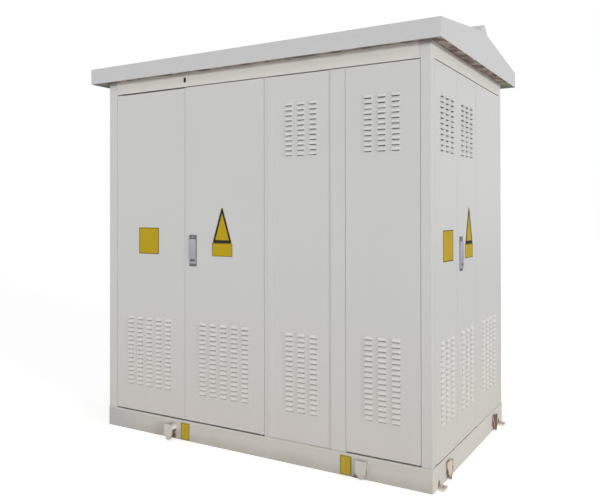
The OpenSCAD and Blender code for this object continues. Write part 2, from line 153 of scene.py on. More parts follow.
class Recipe:
    # a node tree being written; its mixes take wires or colours as seen on a screen
    def __init__(self, tree):
        self.tree = tree
        self.tree.nodes.clear()

    def node(self, kind, settings=None, sockets=None, out=0):
        made = self.tree.nodes.new("ShaderNode" + kind)
        for name, value in (settings or {}).items():
            setattr(made, name, value)
        for name, value in (sockets or {}).items():
            if isinstance(value, Wire):
                self.tree.links.new(value.socket, made.inputs[name])
            else:
                made.inputs[name].default_value = value
        return Wire(self, made.outputs[out]) if len(made.outputs) else None

    def maths(self, operation, *values):
        return self.node("Math", {"operation": operation}, dict(enumerate(values)))

    def vectors(self, operation, *values, out=0):
        return self.node("VectorMath", {"operation": operation}, dict(enumerate(values)), out)

    def mix(self, kind, mask, first, second):
        colours = [screenColour(value) if isinstance(value, tuple) else value for value in (first, second)]
        settings = {"data_type": "RGBA", "blend_type": kind}
        return self.node("Mix", settings, {0: mask, 6: colours[0], 7: colours[1]}, out=2)

    def blend(self, mask, first, second):
        return self.mix("MIX", mask, first, second)

    def tone(self, colour, amount):
        # a colour made lighter or darker by a factor
        return self.mix("MULTIPLY", 1.0, colour, amount)

    def place(self):
        return self.node("TexCoord", out="Object")

    def axis(self, vector, name):
        return self.node("SeparateXYZ", {}, {0: vector}, out=name)

    def magnitude(self, value):
        return self.maths("ABSOLUTE", value)

    def ease(self, value, low, high):
        # 0 below low, 1 above high, smooth between
        limits = {"Value": value, "From Min": low, "From Max": high}
        return self.node("MapRange", {"interpolation_type": "SMOOTHSTEP"}, limits)

    def fade(self, value, low, high):
        # 1 below low, 0 above high
        return 1 - self.ease(value, low, high)

    def swing(self, wave, middle, width):
        # a cloud turned into a value that swings about a middle
        return wave * width + (middle - width / 2)

    def cloud(self, scale, detail=3.0, vector=None):
        sockets = {"Vector": vector or self.place(), "Scale": scale, "Detail": detail}
        return self.node("TexNoise", {}, sockets)

    def stretch(self, vector, x, y, z):
        return self.vectors("MULTIPLY", vector, (x, y, z))

    def distanceTo(self, vector, point):
        return self.vectors("DISTANCE", vector, tuple(point), out="Value")

    def standsOut(self, place):
        # how far a point is outside the walls of the body
        beyond = [self.magnitude(self.axis(place, name)) - half for name, half in zip("XY", bodyHalf)]
        return self.maths("MAXIMUM", *beyond)

    def facing(self, name):
        # in the piece's own axes, so that an opened door keeps its marks
        return self.axis(self.node("TexCoord", out="Normal"), name)

    def corner(self):
        # 1 on the round corners between two walls
        sides = [self.magnitude(self.facing(name)) for name in "XY"]
        return self.ease(self.maths("MINIMUM", *sides), *cornerSpan)

    def openAbove(self, reach):
        # 1 in the open, falling to 0 close under a lip
        upward = (0, 0, 3)
        normal = self.node("NewGeometry", out="Normal")
        lean = self.vectors("NORMALIZE", self.vectors("ADD", normal, upward))
        settings = {"samples": 24, "only_local": True}
        return self.node("AmbientOcclusion", settings, {"Distance": reach, "Normal": lean}, out="AO")

    def bump(self, height, distance, strength):
        sockets = {"Height": height, "Distance": distance, "Strength": strength}
        return self.node("Bump", {}, sockets)


class Finish(Recipe):
    # a material for one finish of the part
    def __init__(self, name):
        self.material = bpy.data.materials.new(name)
        self.material.use_nodes = True
        super().__init__(self.material.node_tree)

    def shade(self, sockets):
        surface = self.node("BsdfPrincipled", {}, sockets)
        self.node("OutputMaterial", {}, {"Surface": surface})
        return self.material

    def powderCoat(self, tint, uneven, plan):
        # satin paint with fine orange peel, and painted shade on the round corners
        return self.shade({
            "Base Color": self.tone(tint, uneven + 1 - self.corner() * plan["cornerDrop"]),
            "Roughness": self.swing(self.cloud(plan["sheenScale"], 2.0), plan["roughness"], plan["sheenSwing"]),
            "Normal": self.bump(self.cloud(plan["peelScale"], 1.0), *plan["bump"]),
        })


# Powder coat of the sheets
# Spans are (from, to): metres, shares of open sky, parts of a unit normal or values of a cloud;
# a bump is its depth and strength, a share is how much of a colour shows, and rougher adds to the
# roughness where that colour shows

paintPlan = {
    "colour": (206, 206, 205),
    "unevenness": 0.03,
    "cloudScale": 1.6,
    "streakScale": 7.0,
    "streakStretch": 0.12,
    "streakShare": 0.35,
    "roughness": 0.46,
    "sheenScale": 25.0,
    "sheenSwing": 0.08,
    "peelScale": 420.0,
    "bump": (0.15 * mm, 0.3),
    "cornerDrop": 0.2,                  # painted shade on the round corners
    "footColour": (208, 203, 199),      # warmer low down, with dust and a painted warm ground light
    # painted light: the foot of the ends is paler still
    "endFoot": (212, 208, 201),
    "footSpan": (0.15, 1.0),
    "lowSpan": (0.9, 1.6),              # from the lower hoods to the upper ones
    "hoodTilt": (0.15, 0.38),           # painted highlight on the hood slopes, strongest towards their lips
    "hoodOut": (0.5 * mm, 5.5 * mm),
    "dustColour": (226, 226, 224),
    "lowDust": (228, 224, 219),
    "endDust": 0.9,                     # share of it on the ends, on the lower hoods alone
    "seamHigh": 6 * mm,                 # painted shade along the top of the base
    "seamColour": (184, 179, 173),
    "grimeReach": 14 * mm,              # painted shade close under the lips of the hoods
    "grimeColour": (122, 116, 112),
    "endGrime": (124, 120, 115),
    "highGrime": (140, 138, 134),
    "deepSky": (0.16, 0.32),
    "rowSky": (0.36, 0.56),
    "flankTilt": (0.3, 0.5),            # the flanks of the hoods get no painted shade
    "flankOut": (0.2 * mm, 0.6 * mm),
    "lowestLip": 308 * mm,              # rows of the lower hoods, from the ground
    "rowRise": 28.8 * mm,
    "rowDark": 0.3,                     # share of each row in painted shade
    "rowSoft": 0.05,
    "hoodDeep": 9 * mm,                 # from the sheet to the lip
    "ventLift": -6 * mm,                # rows of the vent panels start lower,
    "singleLift": 20 * mm,              # and those of the single door and panel higher
}


def sheetFinish(name, plan, lift=0, sunk=0):
    # lift raises the rows of painted shade; sunk is how far the sheet lies inside the wall
    paint = Finish(name)
    place = paint.place()
    height = paint.axis(place, "Z")
    onEnd = paint.ease(paint.magnitude(paint.axis(place, "X")), bodyHalf[0] - mm, bodyHalf[0])
    low = paint.fade(height, *plan["lowSpan"])
    out = paint.standsOut(place) + sunk

    # warmer low down with dust; low on the ends also paler, a painted light
    foot = paint.fade(height, *plan["footSpan"])
    warm = paint.blend(onEnd, plan["footColour"], plan["endFoot"])
    tint = paint.blend(foot, plan["colour"], warm)

    # painted highlight: the upward slopes of the hoods are paler, as if lit from above
    upward = paint.ease(paint.facing("Z"), *plan["hoodTilt"])
    hood = upward * ((1 - onEnd) + onEnd * low * plan["endDust"]) * paint.ease(out, *plan["hoodOut"])
    tint = paint.blend(hood, tint, paint.blend(low, plan["dustColour"], plan["lowDust"]))

    # painted shade: a dark line at the foot of the sheets, just above the base
    seam = paint.fade(height, baseTop + mm, baseTop + plan["seamHigh"])
    tint = paint.blend(seam, tint, plan["seamColour"])

    alongFront, alongEnd = (paint.magnitude(paint.facing(name)) for name in "XY")
    sideways = paint.ease(alongFront * (1 - onEnd) + alongEnd * onEnd, *plan["flankTilt"])
    flank = sideways * paint.ease(out, *plan["flankOut"])
    # painted shade: deep hollows, and a dark band under the lip of each lower row of hoods, not on the flanks
    rows = paint.maths("FRACT", (height - (plan["lowestLip"] + lift)) * (1 / plan["rowRise"]))
    bandFoot = 1 - plan["rowDark"] - plan["rowSoft"]
    band = paint.ease(rows, bandFoot, bandFoot + 2 * plan["rowSoft"])
    litZone = (1 - band) * low * (1 - sideways)
    openSky = paint.openAbove(plan["grimeReach"])
    deep = paint.fade(openSky, *plan["deepSky"]) * (1 - flank) * (1 - litZone)
    under = paint.fade(openSky, *plan["rowSky"]) * (1 - sideways) * band * low
    lowShade = paint.blend(onEnd, plan["grimeColour"], plan["endGrime"])
    paintedShade = paint.blend(low, plan["highGrime"], lowShade)
    tint = paint.blend(paint.maths("MAXIMUM", deep, under), tint, paintedShade)

    share = plan["streakShare"]
    streaks = paint.cloud(plan["streakScale"], 3.0, paint.stretch(place, 1, 1, plan["streakStretch"]))
    wave = paint.cloud(plan["cloudScale"], 4.0) * (1 - share) + streaks * share
    return paint.powderCoat(tint, (wave - 0.5) * (2 * plan["unevenness"]), plan)


headerPlan = {
    **paintPlan,
    "cloudScale": 2.2,
    "headColour": (214, 211, 205),      # the strip over the doors is warmer than the posts
    "eaveColour": (250, 247, 242),      # and has painted light close under the eaves
    "eaveReach": 46 * mm,
    "postTilt": (0.4, 0.9),
}


def headerFinish(plan):
    paint = Finish("headerPaint")
    place = paint.place()
    across = paint.magnitude(paint.axis(place, "X"))
    postLine = bodyHalf[0] - onWall("post_front_left", frontSide)["right"]
    onFront = paint.ease(paint.magnitude(paint.facing("Y")), *plan["postTilt"])
    post = paint.ease(across, postLine - mm, postLine + mm) * onFront
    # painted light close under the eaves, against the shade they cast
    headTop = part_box("header_frame")[1][2]
    litZone = paint.ease(paint.axis(place, "Z"), headTop - plan["eaveReach"], headTop)
    tint = paint.blend(litZone, plan["headColour"], plan["eaveColour"])
    tint = paint.blend(post, tint, plan["colour"])
    wave = paint.cloud(plan["cloudScale"], 4.0)
    return paint.powderCoat(tint, (wave - 0.5) * (2 * plan["unevenness"]), plan)


# Paint of the channel base

basePlan = {
    "colour": (203, 198, 191),
    "roughness": 0.55,
    "cornerDrop": 0.2,
    "bump": (0.4 * mm, 0.5),
    "splashScale": 9.0,
    "dirtColour": (186, 180, 170),
    "dirtHeights": (0.0, 0.11),
    "dirtLow": 0.6,                     # how much the dirt follows the height,
    "dirtSplash": 0.5,                  # and how much the splashes
    "dirtSpan": (0.35, 1.0),
    "edgeColour": (208, 205, 198),      # painted highlight along the top edge
    "edgeHigh": 10 * mm,
    "edgeSoft": 2 * mm,
    "leftColour": (186, 184, 182),      # and greyer towards the left corner
    "leftSpan": (-1.1, -0.6),
    "leftWander": 0.1,
    "endColour": (217, 212, 203),       # the ends catch more light
    "endShare": 0.85,
    "treadColour": (236, 226, 217),     # top of the bolted feet
    "treadOut": (5 * mm, 7 * mm),
    "treadHigh": (20 * mm, 21 * mm),
    "rustColour": (112, 90, 76),
    "rustScale": 55.0,
    "rustShare": 0.9,
    "rustWander": 0.8,                  # raggedness, as a share of the reach
    "treadClean": 0.8,                  # the feet rust less on top
    "rougher": 0.3,
    "rustReach": 28 * mm,               # round the roots by the end lugs
    "footReach": 24 * mm,               # and round all the others
    "footIn": 90 * mm,                  # root of a bolted foot, from the corner
    "footUp": 24 * mm,
    "lugUp": 20 * mm,
    "besideEndLug": 26 * mm,
    "besideShortLug": 38 * mm,
}


def rustAndShadowRoots(plan):
    # points on the base that rust bleeds from, each with its reach; round the end lugs and the long lugs the
    # stain is also painted shadow, beside the short lugs it is painted shadow alone
    roots = [
        (Vector((hand * bodyHalf[0], edge * (bodyHalf[1] - plan["footIn"]), plan["footUp"])), plan["footReach"])
        for hand in (-1, 1) for edge in (-1, 1)
    ]
    for node in nodes:
        low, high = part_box(node)
        middle = (Vector(low) + Vector(high)) / 2
        onX = math.copysign(bodyHalf[0], middle.x)
        onY = math.copysign(bodyHalf[1], middle.y)
        if node.startswith(("lug_end", "lug_left")):
            # rust and painted shadow beside the end lugs
            beside = middle.y + math.copysign(plan["besideEndLug"], middle.x)
            roots.append((Vector((onX, beside, plan["lugUp"])), plan["rustReach"]))
        elif node in ("lug_front_left", "lug_back_right"):
            # rust and painted shade under the long lugs' tubes
            roots.append((Vector((middle.x, onY, plan["lugUp"])), plan["footReach"]))
        elif node in ("lug_front_right", "lug_back_left"):
            # painted shadow on the base beside the short lugs
            beside = middle.x + math.copysign(plan["besideShortLug"], middle.y)
            roots.append((Vector((beside, onY, 0)), plan["footReach"]))
    return roots


def baseFinish(plan):
    # splashed dirt low down, rust bleeding from the feet, rust and painted shadow by the lugs, a painted
    # highlight along the top edge and painted shade on the round corners
    paint = Finish("basePaint")
    place = paint.place()
    height = paint.axis(place, "Z")
    splash = paint.cloud(plan["splashScale"], 5.0)
    dirt = paint.fade(height, *plan["dirtHeights"]) * plan["dirtLow"] + splash * plan["dirtSplash"]
    tint = paint.blend(paint.ease(dirt, *plan["dirtSpan"]), plan["colour"], plan["dirtColour"])
    left = paint.fade(paint.axis(place, "X") + splash * plan["leftWander"], *plan["leftSpan"])
    tint = paint.blend(left, tint, plan["leftColour"])
    # painted highlight along the top edge of the base
    edgeFoot = baseTop - plan["edgeHigh"]
    edge = paint.ease(height + splash * plan["edgeSoft"], edgeFoot, edgeFoot + plan["edgeSoft"])
    tint = paint.blend(edge, tint, plan["edgeColour"])
    onEnd = paint.ease(paint.magnitude(paint.axis(place, "X")), bodyHalf[0] - 2 * mm, bodyHalf[0])
    tint = paint.blend(onEnd * plan["endShare"], tint, plan["endColour"])
    tread = paint.ease(paint.standsOut(place), *plan["treadOut"]) * paint.fade(height, *plan["treadHigh"])
    tint = paint.blend(tread, tint, plan["treadColour"])
    # painted shade on the round corners
    tint = paint.tone(tint, 1 - paint.corner() * plan["cornerDrop"])
    # rust round the roots, with painted shadow round the lugs
    rough = paint.cloud(plan["rustScale"], 4.0)
    rust = 0
    for root, reach in rustAndShadowRoots(plan):
        away = paint.distanceTo(place, root) + (rough - 0.5) * (plan["rustWander"] * reach)
        rust = paint.fade(away, 0.5 * reach, reach) + rust
    rustAndShadow = paint.node("Clamp", {}, {"Value": rust * plan["rustShare"]}) * (1 - tread * plan["treadClean"])
    return paint.shade({
        "Base Color": paint.blend(rustAndShadow, tint, plan["rustColour"]),
        "Roughness": rustAndShadow * plan["rougher"] + plan["roughness"],
        "Normal": paint.bump(rough * (rustAndShadow * 2 + 0.3), *plan["bump"]),
    })


beadPaint = {
    "colour": basePlan["colour"],
    "rustColour": basePlan["rustColour"],
    "flakeScale": 160.0,
    "flakeSpan": (0.35, 0.65),
    "roughness": 0.6,
    "rougher": 0.2,
    "bump": (0.6 * mm, 0.6),
}


def weldFinish(plan):
    # what is left of the paint over flaking rust
    paint = Finish("rustyWeld")
    flakes = paint.cloud(plan["flakeScale"], 5.0)
    return paint.shade({
        "Base Color": paint.blend(paint.ease(flakes, *plan["flakeSpan"]), plan["rustColour"], plan["colour"]),
        "Roughness": flakes * plan["rougher"] + plan["roughness"],
        "Normal": paint.bump(flakes, *plan["bump"]),
    })


# Paint of the lifting lugs: an end plate on a tube

lugPlan = {
    "plateThick": 8 * mm,
    "roughness": 0.55,
    "rougher": 0.15,
    "bump": (0.5 * mm, 0.5),
    "rustScale": 60.0,
    "raggedTube": 5 * mm,               # raggedness of the edges between two colours
    "raggedTop": 0.5,
    "raggedFoot": 40 * mm,
    "raggedBack": 30 * mm,
    "plateSoft": 1.5 * mm,
    "topTilt": (-0.3, 0.2),
    "rimTilt": (-0.2, 0.5),
    "faceTilt": (0.3, 0.9),
    "rimSpan": (50 * mm, 75 * mm),      # below this the plate's rim has painted highlight and shade; above it takes the plate's own colour
    # tube colours are a painted highlight on faces looking up; under colours are painted shade, partly rust, on
    # faces looking down
    "long": {
        "plate": (205, 200, 192), "foot": (188, 182, 174), "rust": (0.0, 40 * mm),
        "tube": (228, 224, 212), "under": (92, 80, 68),
    },
    "short": {
        "plate": (203, 198, 190), "foot": (186, 178, 172), "rust": (0.0, 40 * mm),
        "tube": (196, 190, 182), "under": (124, 112, 112),
    },
    "end": {
        "plate": (222, 204, 190), "foot": (106, 82, 68), "rust": (4 * mm, 44 * mm),
        "tube": (222, 206, 186), "under": (150, 126, 108), "rustBeyond": (16 * mm, 28 * mm),
    },
}


def lugFinish(name, node, side, kind, plan):
    # painted highlight on top and painted shade, partly rust, below; the plate rusts from its foot up
    paint = Finish(name)
    colours = plan[kind]
    place = paint.place()
    height = paint.axis(place, "Z")
    rough = paint.cloud(plan["rustScale"], 5.0)
    ragged = rough - 0.5
    plateBack = -onWall(node, side)["face"] - plan["plateThick"]
    out = paint.standsOut(place) + ragged * plan["raggedTube"]
    tube = paint.fade(out, plateBack - plan["plateSoft"], plateBack + plan["plateSoft"])
    # the tube: painted highlight on its top, painted shade with rust beneath
    top = paint.ease(paint.facing("Z") + ragged * plan["raggedTop"], *plan["topTilt"])
    metal = paint.blend(top, colours["under"], colours["tube"])
    low = paint.fade(height + ragged * plan["raggedFoot"], *colours["rust"])
    plate = paint.blend(low, colours["plate"], colours["foot"])
    if "rustBeyond" in colours:
        # measured back from the middle of the lug nearest the front, so the far lugs are rusty all over
        middle = sum(corner[1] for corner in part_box(node)) / 2
        beyond = paint.axis(place, "Y") - middle + ragged * plan["raggedBack"]
        plate = paint.blend(paint.ease(beyond, *colours["rustBeyond"]), plate, colours["foot"])
    # the plate's rims: painted highlight on top edges, painted shade with rust on lower ones
    rim = paint.blend(paint.ease(paint.facing("Z"), *plan["rimTilt"]), colours["under"], colours["tube"])
    rim = paint.blend(paint.ease(height, *plan["rimSpan"]), rim, plate)
    flat = paint.ease(paint.magnitude(paint.facing("X" if side % 2 else "Y")), *plan["faceTilt"])
    plate = paint.blend(flat, rim, plate)
    return paint.shade({
        "Base Color": paint.blend(tube, plate, metal),
        "Roughness": tube * plan["rougher"] + plan["roughness"],
        "Normal": paint.bump(rough, *plan["bump"]),
    })


# Roof, soffit and floor

roofPlan = {
    "colour": (200, 200, 200),
    "dustColour": (200, 197, 190),
    "dustTilt": (0.6, 0.95),
    "dustScale": 6.0,
    "dustSpan": (0.35, 0.75),
    "dustShare": 0.7,
    "cloudScale": 1.8,
    "unevenness": 0.025,
    "roughness": 0.44,
    "rougher": 0.2,
    "peelScale": 380.0,
    "bump": (0.15 * mm, 0.3),
}
soffitPlan = {
    "colour": (200, 185, 174),
    "patchColour": (122, 102, 91),
    "patchScale": 17.0,
    "patchSpan": (0.36, 0.62),
    "mossColour": (176, 184, 140),      # towards the back
    "mossScale": 5.0,
    "mossWander": 0.1,
    "mossSpan": (0.66, 0.78),
    "mossShare": 0.7,
    "roughness": 0.7,
    "rougher": 0.15,
    "rustScale": 60.0,
    "bump": (0.5 * mm, 0.5),
}
floorPlan = {
    "colour": (150, 150, 148),
    "scuffColour": (134, 131, 126),
    "scuffScale": 11.0,
    "scuffSpan": (0.45, 0.7),
    "roughness": 0.55,
    "rougher": 0.2,
    "grainScale": 90.0,
    "bump": (0.2 * mm, 0.4),
}


def roofFinish(plan):
    # dust settles on the slopes
    paint = Finish("roofPaint")
    settled = paint.ease(paint.cloud(plan["dustScale"], 5.0), *plan["dustSpan"])
    dust = paint.ease(paint.facing("Z"), *plan["dustTilt"]) * settled
    uneven = (paint.cloud(plan["cloudScale"], 4.0) - 0.5) * (2 * plan["unevenness"])
    tint = paint.blend(dust * plan["dustShare"], plan["colour"], plan["dustColour"])
    return paint.shade({
        "Base Color": paint.tone(tint, uneven + 1),
        "Roughness": dust * plan["rougher"] + plan["roughness"],
        "Normal": paint.bump(paint.cloud(plan["peelScale"], 1.0), *plan["bump"]),
    })


def soffitFinish(plan):
    # weathered primer under the roof
    paint = Finish("soffitPrimer")
    patches = paint.ease(paint.cloud(plan["patchScale"], 5.0), *plan["patchSpan"])
    depth = paint.axis(paint.place(), "Y") + paint.cloud(plan["mossScale"], 2.0) * plan["mossWander"]
    moss = paint.ease(depth, *plan["mossSpan"])
    tint = paint.blend(patches, plan["colour"], plan["patchColour"])
    return paint.shade({
        "Base Color": paint.blend(moss * plan["mossShare"], tint, plan["mossColour"]),
        "Roughness": patches * plan["rougher"] + plan["roughness"],
        "Normal": paint.bump(paint.cloud(plan["rustScale"], 4.0), *plan["bump"]),
    })


def floorFinish(plan):
    paint = Finish("floorPrimer")
    scuffs = paint.ease(paint.cloud(plan["scuffScale"], 6.0), *plan["scuffSpan"])
    return paint.shade({
        "Base Color": paint.blend(scuffs, plan["colour"], plan["scuffColour"]),
        "Roughness": scuffs * plan["rougher"] + plan["roughness"],
        "Normal": paint.bump(paint.cloud(plan["grainScale"], 3.0), *plan["bump"]),
    })


# Signs, labels, rubber and bare metal

signPlan = {
    "colour": (187, 159, 22),
    "fadeColour": (182, 155, 36),
    "fadeScale": 13.0,
    "fadeSpan": (0.4, 0.75),
    "fadeShare": 0.6,
    "gloss": 0.15,
    "roughness": 0.5,
    "rougher": 0.1,
    "grainScale": 240.0,
    "bump": (0.1 * mm, 0.3),
}
labelPaint = {**signPlan, "colour": (190, 168, 50), "fadeColour": (184, 152, 44)}
wornPlan = {
    "wearScale": 70.0,
    "wearSpan": (0.5, 0.8),
    "wearShare": 0.5,
    "paler": 26,                        # steps that a worn spot is paler
    "rougher": 0.15,
    "ink": {"colour": (20, 14, 4), "roughness": 0.8},
    "labelRim": {"colour": (146, 134, 56), "roughness": 0.6},
    "labelField": {"colour": (180, 144, 30), "roughness": 0.6},
    "rubber": {"colour": (34, 33, 32), "roughness": 0.75},
    # the seal's near white is painted light in the shaded sill gap
    "seal": {"colour": (248, 236, 224), "roughness": 0.7},
}
rodPlan = {
    "colour": (150, 150, 150),
    "metallic": 0.75,
    "metalSwing": 0.1,
    "toneSwing": 0.12,
    "roughness": 0.35,
    "roughSwing": 0.14,
    "grain": (900, 900, 20),
    "bump": (0.05 * mm, 0.3),
}
lockPlan = {
    **rodPlan,
    "colour": (176, 178, 184),
    "plateColour": (112, 112, 116),     # the lever stands out of a darker plate
    "leverSpan": (3.2 * mm, 4.2 * mm),
    "metallic": 0.45,
    "roughness": 0.42,
    "grain": (900, 900, 40),
}


def signFinish(name, plan):
    # printed yellow on thin sheet, a little faded in patches
    paint = Finish(name)
    fade = paint.ease(paint.cloud(plan["fadeScale"], 4.0), *plan["fadeSpan"])
    return paint.shade({
        "Base Color": paint.blend(fade * plan["fadeShare"], plan["colour"], plan["fadeColour"]),
        "Roughness": fade * plan["rougher"] + plan["roughness"],
        "Specular IOR Level": plan["gloss"],
        "Normal": paint.bump(paint.cloud(plan["grainScale"], 1.0), *plan["bump"]),
    })


def wornFinish(name, kind, plan):
    # ink, print or rubber, worn paler in spots
    paint = Finish(name)
    colour = plan[kind]["colour"]
    wear = paint.ease(paint.cloud(plan["wearScale"], 4.0), *plan["wearSpan"])
    worn = tuple(min(255, value + plan["paler"]) for value in colour)
    return paint.shade({
        "Base Color": paint.blend(wear * plan["wearShare"], colour, worn),
        "Roughness": wear * plan["rougher"] + plan[kind]["roughness"],
    })


def metalFinish(name, plan):
    # dull cast or drawn metal with a fine vertical grain
    metal = Finish(name)
    place = metal.place()
    tint = plan["colour"]
    if "plateColour" in plan:
        lever = metal.ease(metal.standsOut(place), *plan["leverSpan"])
        tint = metal.blend(lever, plan["plateColour"], plan["colour"])
    lines = metal.cloud(1.0, 2.0, metal.stretch(place, *plan["grain"]))
    return metal.shade({
        "Base Color": metal.tone(tint, metal.swing(lines, 1, plan["toneSwing"])),
        "Metallic": lines * plan["metalSwing"] + plan["metallic"],
        "Roughness": metal.swing(lines, plan["roughness"], plan["roughSwing"]),
        "Normal": metal.bump(lines, *plan["bump"]),
    })


ventSunk = onWall("front_vent_panel", frontSide)["face"] + paintPlan["hoodDeep"]
finishes = {
    "sheet": sheetFinish("sheetPaint", paintPlan),
    "ventSheet": sheetFinish("ventPaint", paintPlan, paintPlan["ventLift"], ventSunk),
    "singleSheet": sheetFinish("singlePaint", paintPlan, paintPlan["singleLift"]),
    "header": headerFinish(headerPlan),
    "base": baseFinish(basePlan),
    "roof": roofFinish(roofPlan),
    "soffit": soffitFinish(soffitPlan),
    "floor": floorFinish(floorPlan),
    "sign": signFinish("signYellow", signPlan),
    "label": signFinish("labelYellow", labelPaint),
    "labelRim": wornFinish("labelBorder", "labelRim", wornPlan),
    "labelField": wornFinish("labelField", "labelField", wornPlan),
    "longLug": lugFinish("longLugPaint", "lug_front_left", frontSide, "long", lugPlan),
    "shortLug": lugFinish("shortLugPaint", "lug_front_right", frontSide, "short", lugPlan),
    "endLug": lugFinish("endLugPaint", "lug_end_near", rightEnd, "end", lugPlan),
    "ink": wornFinish("signBorder", "ink", wornPlan),
    "rubber": wornFinish("rubber", "rubber", wornPlan),
    "seal": wornFinish("paleSeal", "seal", wornPlan),
    "lock": metalFinish("lockZinc", lockPlan),
    "rod": metalFinish("rodSteel", rodPlan),
    "rust": weldFinish(beadPaint),
}
print("stage: finishes made,", len(finishes))

# Finishes of the frame's nodes; all others are plain sheet

finishOfNode = {
    "header_frame": "header", "base_frame": "base", "floor_plate": "floor",
    "front_vent_panel": "ventSheet", "back_vent_panel": "ventSheet",
    "front_single_door": "singleSheet", "back_single_panel": "singleSheet",
    "roof_shell": "roof", "ridge_cap": "roof", "soffit": "soffit",
    "lug_front_left": "longLug", "lug_back_right": "longLug",
    "lug_front_right": "shortLug", "lug_back_left": "shortLug",
    "lug_end_near": "endLug", "lug_end_far": "endLug",
    "lug_left_end_near": "endLug", "lug_left_end_far": "endLug",
}
finishOfEnding = {"_lock": "lock", "_plate": "sign"}


def nodeFinish(name):
    if name in finishOfNode:
        return finishOfNode[name]
    if name.startswith("rod_"):
        return "rod"
    return next((finish for end, finish in finishOfEnding.items() if name.endswith(end)), "sheet")


for name, obj in nodes.items():
    for slot in obj.material_slots:
        slot.link = "OBJECT"
        slot.material = finishes[nodeFinish(name)]
print("stage: frame nodes painted")

# Shapes drawn on a wall: outlines are (along, up) points, depths run into the body


def drawnIn(sides, across, up=None):
    # left, right, bottom and top of a rectangle, moved inwards
    left, right, bottom, top = sides
    rise = across if up is None else up
    return left + across, right - across, bottom + rise, top - rise


def centred(x, z, half, rise):
    return x - half, x + half, z - rise, z + rise


def roundedRectangle(sides, radius, steps=5):
    left, right, bottom, top = drawnIn(sides, radius)
    points = []
    for x, z, start in ((right, top, 0), (left, top, 90), (left, bottom, 180), (right, bottom, 270)):
        for step in range(steps + 1):
            angle = math.radians(start + 90 * step / steps)
            points.append((x + radius * math.cos(angle), z + radius * math.sin(angle)))
    return points


def roundedTriangle(middle, foot, plan, sideIn, footIn, radius, steps=6):
    # the sign's own outline drawn in from its sides and its foot, with corners of a new radius
    tip = plan["tipRadius"]
    half = plan["triangleWide"] / 2 - tip
    rise = plan["triangleHigh"] - 2 * tip
    slope = Vector((rise, half)).normalized()
    reach = half * slope.x + tip * slope.y + tip - sideIn - radius
    low = footIn + radius
    out = (reach - low * slope.y) / slope.x
    lean = math.degrees(math.atan2(slope.y, slope.x))
    corners = [(out, low, -90, lean), (0, reach / slope.y, lean, 180 - lean), (-out, low, 180 - lean, 270)]
    points = []
    for x, z, start, end in corners:
        for step in range(steps + 1):
            angle = math.radians(start + (end - start) * step / steps)
            points.append((middle + x + radius * math.cos(angle), foot + z + radius * math.sin(angle)))
    return points


def bridge(mesh, loops):
    # faces between each loop of vertices and the next
    for here, after in zip(loops, loops[1:]):
        for i in range(len(here)):
            j = (i + 1) % len(here)
            mesh.faces.new((here[i], here[j], after[j], after[i]))


def addPrism(mesh, outline, front, back, bevel=0.0, segments=2):
    # closed block between two depths, with its front edges eased
    near, far = ([mesh.verts.new((x, depth, z)) for x, z in outline] for depth in (front, back))
    mesh.faces.new(near)
    mesh.faces.new(reversed(far))
    for i in range(len(outline)):
        j = (i + 1) % len(outline)
        mesh.faces.new((near[j], near[i], far[i], far[j]))
    if bevel:
        rim = {edge for vert in near for edge in vert.link_edges if edge.other_vert(vert) in near}
        bmesh.ops.bevel(mesh, geom=list(rim), offset=bevel, segments=segments, profile=0.5, affect="EDGES")


def addRing(mesh, outer, inner, front, back):
    # closed flat frame between two outlines of as many points
    corners = ((outer, front), (inner, front), (inner, back), (outer, back))
    loops = [[mesh.verts.new((x, depth, z)) for x, z in outline] for outline, depth in corners]
    bridge(mesh, loops + loops[:1])


def addFrame(mesh, sides, insets, radii, front, back):
    # rectangular ring between two lines inside the sides
    outer, inner = (roundedRectangle(drawnIn(sides, inset), radius) for inset, radius in zip(insets, radii))
    addRing(mesh, outer, inner, front, back)


def addTurned(mesh, profile, steps, at):
    # closed turned shape: profile of (radius, out), put in place by at(across, up, out)
    loops = []
    for radius, out in profile:
        angles = [math.tau * k / steps for k in range(steps)]
        loops.append([
            mesh.verts.new(at(radius * math.cos(angle), radius * math.sin(angle), out)) for angle in angles
        ])
    bridge(mesh, loops)
    mesh.faces.new(loops[0])
    mesh.faces.new(list(reversed(loops[-1])))


def makeObject(name, mesh, material):
    data = bpy.data.meshes.new(name)
    mesh.to_mesh(data)
    mesh.free()
    data.materials.append(material)
    obj = bpy.data.objects.new(name, data)
    scene.collection.objects.link(obj)
    return obj


def makePiece(name, draw, finish, body, side=None, smooth=None):
    # draws a piece, on a wall if side says which, and rides it on its body; smooth is the angle
    # in degrees that leaves an edge sharp
    mesh = bmesh.new()
    draw(mesh)
    if side is not None:
        bmesh.ops.transform(mesh, matrix=wallFrame(side), verts=mesh.verts)
    bmesh.ops.recalc_face_normals(mesh, faces=mesh.faces)
    obj = makeObject(name, mesh, finishes[finish])
    if smooth:
        obj.data.shade_smooth()
        obj.data.set_sharp_from_angle(angle=math.radians(smooth))
    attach(obj, body)


# Borders of the signs: the signs themselves are left bare

borderPlan = {
    "thick": 0.35 * mm,
    "inset": 0.8 * mm,
    "squareWidth": 4 * mm,
    "squareRadii": (4 * mm, 3 * mm),
    "captionWidth": 2.5 * mm,
    "captionRadii": (3 * mm, 2 * mm),
    "captionHigh": 82 * mm,
    "triangleWide": 142 * mm,
    "triangleHigh": 216 * mm,
    "tipRadius": 6 * mm,
    "triangleInset": 0.5 * mm,
    "triangleSides": 14 * mm,
    "triangleFoot": 19 * mm,
    "innerTip": 2 * mm,
}


